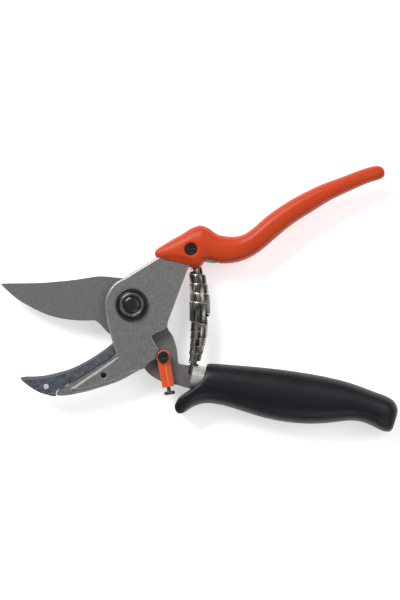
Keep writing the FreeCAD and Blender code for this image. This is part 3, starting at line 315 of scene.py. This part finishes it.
ORANGE = (0.50, 0.046, 0.007)
MATERIALS = {
    "cast_frame": make_surface("cast_grey", (0.172, 0.170, 0.166), rough=0.4, metallic=0.35,
                               contrast=0.13, mottle=1.5, grain=0.4, grain_depth=0.03),
    "coated_blade": make_surface("blade_coating", (0.134, 0.132, 0.125), rough=0.46, metallic=0.25,
                                 contrast=0.11, mottle=1.2, grain=0.35, grain_depth=0.02),
    "plated_insert": make_plated("zinc_plate", (0.105, 0.117, 0.135)),
    "hardened_strip": make_surface("ground_steel", (0.24, 0.25, 0.265), rough=0.35, metallic=0.6,
                                   contrast=0.08, mottle=3, grain=0.15, grain_depth=0.006,
                                   stretch=(1, 6, 1)),
    "orange_cover": make_surface("orange_moulding", ORANGE, rough=0.4, metallic=0, contrast=0.035,
                                 mottle=18, grain=0.8, grain_depth=0.008, coat=0.06,
                                 coat_rough=0.25, specular=0.22),
    "orange_catch": make_surface("orange_catch_paint", (0.66, 0.078, 0.014), rough=0.36, metallic=0,
                                 contrast=0.05, mottle=6, grain=0.5, grain_depth=0.01, coat=0.12,
                                 coat_rough=0.2, specular=0.35),
    "grip_rubber": make_surface("soft_black_grip", (0.0026, 0.0030, 0.0062), rough=0.42, metallic=0,
                                contrast=0.2, mottle=8, grain=0.5, grain_depth=0.02, specular=0.36),
    "grip_liner_plastic": make_surface("liner_black", (0.02, 0.02, 0.022), rough=0.5),
    "blackened_steel": make_surface("black_oxide", (0.008, 0.008, 0.009), rough=0.22, metallic=0.0,
                                    contrast=0.2, mottle=3, grain=0.3, grain_depth=0.006,
                                    specular=0.7),
    "zinc_steel": make_surface("zinc", (0.5, 0.5, 0.51), rough=0.35, metallic=0.85, contrast=0.08,
                               mottle=3, grain=0.2, grain_depth=0.006),
    "rivet_steel": make_surface("rivet_end", (0.62, 0.64, 0.66), rough=0.35, metallic=0.5,
                                contrast=0.06, mottle=2, grain=0.2, grain_depth=0.006),
    "collar_steel": make_surface("turned_steel", (0.62, 0.61, 0.59), rough=0.3, metallic=0.6,
                                 contrast=0.08, mottle=3, grain=0.12, grain_depth=0.006,
                                 stretch=(1, 8, 1)),
    "spring_steel": make_strip_steel("spring_strip"),
    "bronze_bush": make_surface("sintered_bronze", (0.35, 0.2, 0.08), rough=0.5, metallic=0.8,
                                contrast=0.1, mottle=2, grain=0.2, grain_depth=0.01),
    "nylon_glide": make_surface("nylon_white", (0.6, 0.6, 0.57), rough=0.5, metallic=0,
                                contrast=0.04, mottle=4, grain=0.3, grain_depth=0.006),
    "bush_nylon": make_surface("nylon_natural", (0.55, 0.54, 0.5), rough=0.5, metallic=0,
                               contrast=0.04, mottle=4, grain=0.3, grain_depth=0.006),
    "gunmetal": make_surface("gunmetal_pin", (0.085, 0.082, 0.078), rough=0.3, metallic=0.6,
                             contrast=0.1, mottle=2, grain=0.2, grain_depth=0.006),
    "wire_steel": make_surface("bright_wire", (0.5, 0.5, 0.5), rough=0.3, metallic=0.9,
                               contrast=0.06, mottle=2, grain=0.15, grain_depth=0.004),
}
# Light steel for the spring strip's edge faces and the outer rows beside them: a painted highlight.
STRIP_EDGE_HIGHLIGHT = make_surface("strip_edge_highlight", (0.86, 0.85, 0.82), rough=0.25, metallic=0.85,
                          contrast=0.05, mottle=2, grain=0.2, grain_depth=0.004)
# Second material for the faces of the rounded edges. It is lighter on the casting, catch lever, nut
# and washer, as a painted highlight, and darker along the hook insert's edges.
PAINTED_EDGE_TONES = {
    "body_casting": make_surface("cast_edge_highlight", (0.30, 0.295, 0.28), rough=0.34, metallic=0.45,
                                 contrast=0.12, mottle=4, grain=0.3, grain_depth=0.01),
    "hook_insert": make_surface("insert_edge", (0.07, 0.075, 0.085), rough=0.4, metallic=0.5,
                                contrast=0.2, mottle=2, grain=0.3, grain_depth=0.01),
    "catch_lever": make_surface("catch_edge_highlight", (0.80, 0.13, 0.04), rough=0.32, metallic=0,
                                contrast=0.06, mottle=3, grain=0.4, grain_depth=0.006, coat=0.3,
                                coat_rough=0.2),
    "pivot_nut": make_surface("nut_edge_highlight", (0.2, 0.2, 0.205), rough=0.22, metallic=0.6, contrast=0.2,
                              mottle=2, grain=0.3, grain_depth=0.004),
    "pivot_washer": make_surface("washer_edge_highlight", (0.05, 0.05, 0.052), rough=0.2, metallic=0.4,
                                 contrast=0.2, mottle=2, grain=0.3, grain_depth=0.004),
}
SLOT_OF = {part["node"]: part["material_slot"] for part in frame["record"]["subparts"]}


def dress(obj, slot_name):
    """Gives a piece its slot's material."""
    obj.data.materials.clear()
    obj.data.materials.append(MATERIALS[slot_name])


# --------------------------------------------------------------------------------------------------
# Pieces made from CAD nodes, with their edges broken
# --------------------------------------------------------------------------------------------------

SHARP = math.radians(38)
FLAT = math.radians(0.5)
MERGE_DISTANCE = 2e-6
BEVEL_SEGMENTS = 2
SMOOTH_FACTOR = 0.5
FLAT_FACE_WEIGHT = 90


def softened(node, width, soft=None):
    """Copy of a CAD node whose sharp edges are rounded by width millimetres. It replaces the node.

    A width of 0 leaves the rounding to soft, which is the cell size in millimetres of a remesh and
    its rounds of smoothing, for a moulded piece with no hard edges.
    """
    source = frame["nodes"][node]
    mesh = source.data.copy()
    work = bmesh.new()
    work.from_mesh(mesh)
    bmesh.ops.remove_doubles(work, verts=work.verts, dist=MERGE_DISTANCE)
    bmesh.ops.dissolve_limit(work, angle_limit=FLAT, verts=work.verts, edges=work.edges)
    work.to_mesh(mesh)
    work.free()
    piece = bpy.data.objects.new(node + "_piece", mesh)
    bpy.context.scene.collection.objects.link(piece)
    if width:
        bevel = piece.modifiers.new("bevel", "BEVEL")
        bevel.width = width * MM
        bevel.segments = BEVEL_SEGMENTS
        bevel.limit_method = "ANGLE"
        bevel.angle_limit = SHARP
        bevel.use_clamp_overlap = False
        # Bevel faces take the second material: a painted highlight on the casting, catch lever, nut
        # and washer, and a darker tone on the hook insert.
        if node in PAINTED_EDGE_TONES:
            mesh.materials.clear()
            mesh.materials.append(MATERIALS[SLOT_OF[node]])
            mesh.materials.append(PAINTED_EDGE_TONES[node])
            bevel.material = 1
        apply_modifiers(piece)
    if soft:
        soften_mesh(piece, *soft)
        smooth(piece, math.pi)
    else:
        smooth(piece)
        even_normals(piece)
    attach(piece, source["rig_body"])
    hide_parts(node)
    if node in PAINTED_EDGE_TONES:
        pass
    else:
        dress(piece, SLOT_OF[node])


def apply_modifiers(piece):
    """Makes the result of the piece's modifiers its own mesh."""
    graph = bpy.context.evaluated_depsgraph_get()
    made = bpy.data.meshes.new_from_object(piece.evaluated_get(graph),
                                           preserve_all_data_layers=True, depsgraph=graph)
    piece.modifiers.clear()
    piece.data = made


def soften_mesh(piece, cell, rounds):
    """Remesh in cells of that many millimetres, then so many rounds of smoothing."""
    remesh = piece.modifiers.new("remesh", "REMESH")
    remesh.mode = "VOXEL"
    remesh.voxel_size = cell * MM
    rounded = piece.modifiers.new("rounded", "SMOOTH")
    rounded.factor = SMOOTH_FACTOR
    rounded.iterations = rounds
    apply_modifiers(piece)


def even_normals(piece):
    """Keeps flat faces flat in shading beside their rounded edges."""
    weighted = piece.modifiers.new("weighted", "WEIGHTED_NORMAL")
    weighted.keep_sharp = True
    weighted.weight = FLAT_FACE_WEIGHT
    apply_modifiers(piece)


def smooth(piece, angle=SHARP):
    piece.data.shade_smooth()
    piece.data.set_sharp_from_angle(angle=angle)


# --------------------------------------------------------------------------------------------------
# Return spring: two strips rolled into cones that meet in the middle
# --------------------------------------------------------------------------------------------------

SPRING_TOP = (32.3, 18.2)
SPRING_MIDDLE = (34.3, -5.4)
SPRING_BOTTOM = (31.1, -29.4)
SPRING_LEVEL = -0.4
SPRING_SPAN = 48.0
STRIP_METAL = 0.36
EDGE_ROUND = 0.2
STEPS_PER_TURN = 44
# rows across the strip: place from -1 to 1 and how far its outer face is rounded off there
STRIP_ROWS = (
    (-1.0, EDGE_ROUND), (-0.985, EDGE_ROUND * 0.45), (-0.95, 0.0), (-0.5, 0.0), (0.0, 0.0),
    (0.5, 0.0), (0.95, 0.0), (0.985, EDGE_ROUND * 0.45), (1.0, EDGE_ROUND),
)
# rows of the outer face beside each edge that take the painted highlight material
RIM_ROWS = 2
# place on the spring's line as a share of it, radius and width in millimetres, each as its value
# at the strip's narrow end and its growth to the other end; start is in degrees
UPPER_STRIP = {"turns": -3.75, "start": 320, "place": (0.068, 0.414), "reach": (3.5, 1.65),
               "width": (7.0, 4.0)}
LOWER_STRIP = {"turns": -4.2, "start": 150, "place": (0.935, -0.37), "reach": (2.7, 1.45),
               "width": (5.8, 3.4)}


def circle_through(a, b, c):
    """Centre and radius of the circle through three points."""
    (ax, ay), (bx, by), (cx, cy) = a, b, c
    d = 2 * (ax * (by - cy) + bx * (cy - ay) + cx * (ay - by))
    ux = ((ax * ax + ay * ay) * (by - cy) + (bx * bx + by * by) * (cy - ay)
          + (cx * cx + cy * cy) * (ay - by)) / d
    uy = ((ax * ax + ay * ay) * (cx - bx) + (bx * bx + by * by) * (ax - cx)
          + (cx * cx + cy * cy) * (bx - ax)) / d
    return ux, uy, math.hypot(ax - ux, ay - uy)


def spring_place(share):
    """Point on the bowed centre line at a share of its length from the top, and its side."""
    ux, uy, radius = circle_through(SPRING_TOP, SPRING_MIDDLE, SPRING_BOTTOM)
    first = math.atan2(SPRING_TOP[1] - uy, SPRING_TOP[0] - ux)
    last = math.atan2(SPRING_BOTTOM[1] - uy, SPRING_BOTTOM[0] - ux)
    angle = first + (last - first) * share
    side = Vector((math.cos(angle), math.sin(angle), 0))
    return Vector((ux, uy, SPRING_LEVEL)) + side * radius, side


def part_way(line, share):
    start, growth = line
    return start + growth * share


def rolled_strip(vertices, faces, bright, strip):
    """Adds one strip's vertices and faces; bright says which faces along its edges take the painted
    highlight.
    """
    steps = int(abs(strip["turns"]) * STEPS_PER_TURN)
    count = len(STRIP_ROWS)
    base = len(vertices)
    for i in range(steps + 1):
        share = i / steps
        angle = math.radians(strip["start"]) + 2 * math.pi * strip["turns"] * share
        place = part_way(strip["place"], share)
        half = part_way(strip["width"], share) / 2
        reach = part_way(strip["reach"], share)
        for wall in (0, 1):
            for across, dip in STRIP_ROWS:
                middle, side = spring_place(place + across * half / SPRING_SPAN)
                radius = reach + (STRIP_METAL - dip if wall else 0.0)
                point = middle + side * (radius * math.cos(angle)) + Vector(
                    (0, 0, radius * math.sin(angle)))
                vertices.append(at(*point))
    ring = 2 * count

    def quad(a, b, c, d, edge=False):
        faces.append((base + a, base + b, base + c, base + d))
        bright.append(edge)

    for i in range(steps):
        here, there = i * ring, (i + 1) * ring
        for j in range(count - 1):
            rim = j < RIM_ROWS or j >= count - 1 - RIM_ROWS
            quad(here + j, here + j + 1, there + j + 1, there + j)
            quad(there + count + j, there + count + j + 1, here + count + j + 1, here + count + j,
                 rim)
        quad(there, there + count, here + count, here, True)
        quad(here + count - 1, here + 2 * count - 1, there + 2 * count - 1, there + count - 1, True)
    for end, flip in ((0, False), (steps * ring, True)):
        for j in range(count - 1):
            corners = (end + j, end + count + j, end + count + j + 1, end + j + 1)
            quad(*(corners[::-1] if flip else corners), True)


def make_spring():
    """Two cones of strip; the lower one's widest turn lies inside the upper one's."""
    vertices, faces, bright = [], [], []
    rolled_strip(vertices, faces, bright, UPPER_STRIP)
    rolled_strip(vertices, faces, bright, LOWER_STRIP)
    mesh = bpy.data.meshes.new("spring")
    mesh.from_pydata([tuple(v) for v in vertices], [], faces)
    piece = bpy.data.objects.new("rolled_spring", mesh)
    bpy.context.scene.collection.objects.link(piece)
    dress(piece, "spring_steel")
    # the edge faces take the light material, a painted highlight along each strip's edges
    mesh.materials.append(STRIP_EDGE_HIGHLIGHT)
    for polygon, edge in zip(mesh.polygons, bright):
        polygon.material_index = 1 if edge else 0
    work = bmesh.new()
    work.from_mesh(mesh)
    bmesh.ops.recalc_face_normals(work, faces=work.faces)
    work.to_mesh(mesh)
    work.free()
    smooth(piece)
    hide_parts("volute_spring")
    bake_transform(piece)


def middle_of(node):
    low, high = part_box(node)
    return (low + high) / 2


def make_foot_spring():
    """The catch foot's small spring. In the real catch one end stays in the lever and the other
    moves with the foot; this copy of its CAD node is attached to no body and does not bend.
    """
    piece = bpy.data.objects.new("foot_spring", frame["nodes"]["catch_foot_spring"].data.copy())
    bpy.context.scene.collection.objects.link(piece)
    inward = middle_of("catch_screw") - middle_of("catch_foot")
    inward.z = 0
    inward.normalize()
    smooth(piece)
    dress(piece, SLOT_OF["catch_foot_spring"])
    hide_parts("catch_foot_spring")
    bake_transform(piece)


# --------------------------------------------------------------------------------------------------
# Everything
# --------------------------------------------------------------------------------------------------

# width in millimetres of each piece's rounded edges
SOFTENED = {
    "body_casting": 0.35, "blade": 0.12, "handle_cover": 0.45, "grip_shell": 0,
    "catch_lever": 0.3, "hook_insert": 0.15, "counter_blade": 0.08, "pivot_washer": 0.25,
    "pivot_nut": 0.3, "pivot_bolt": 0.25, "handle_screw": 0.15, "catch_screw": 0.2,
    "catch_foot": 0.3, "counter_blade_rivet": 0.15, "insert_screw": 0.12,
    "handle_screw_sleeve": 0.15, "spring_lower_seat": 0.15, "spring_upper_seat": 0.15,
    "pivot_back_washer": 0.1,
}

# cell size in millimetres of the remesh, and rounds of smoothing
MOULDED = {"grip_shell": (0.5, 14), "handle_cover": (0.4, 5)}


def make_pieces():
    for node, width in SOFTENED.items():
        softened(node, width, soft=MOULDED.get(node))
    for node, obj in frame["nodes"].items():
        if node not in SOFTENED and node not in ("volute_spring", "catch_foot_spring"):
            dress(obj, SLOT_OF[node])
    make_spring()
    make_foot_spring()


make_camera()
make_studio()
make_pieces()
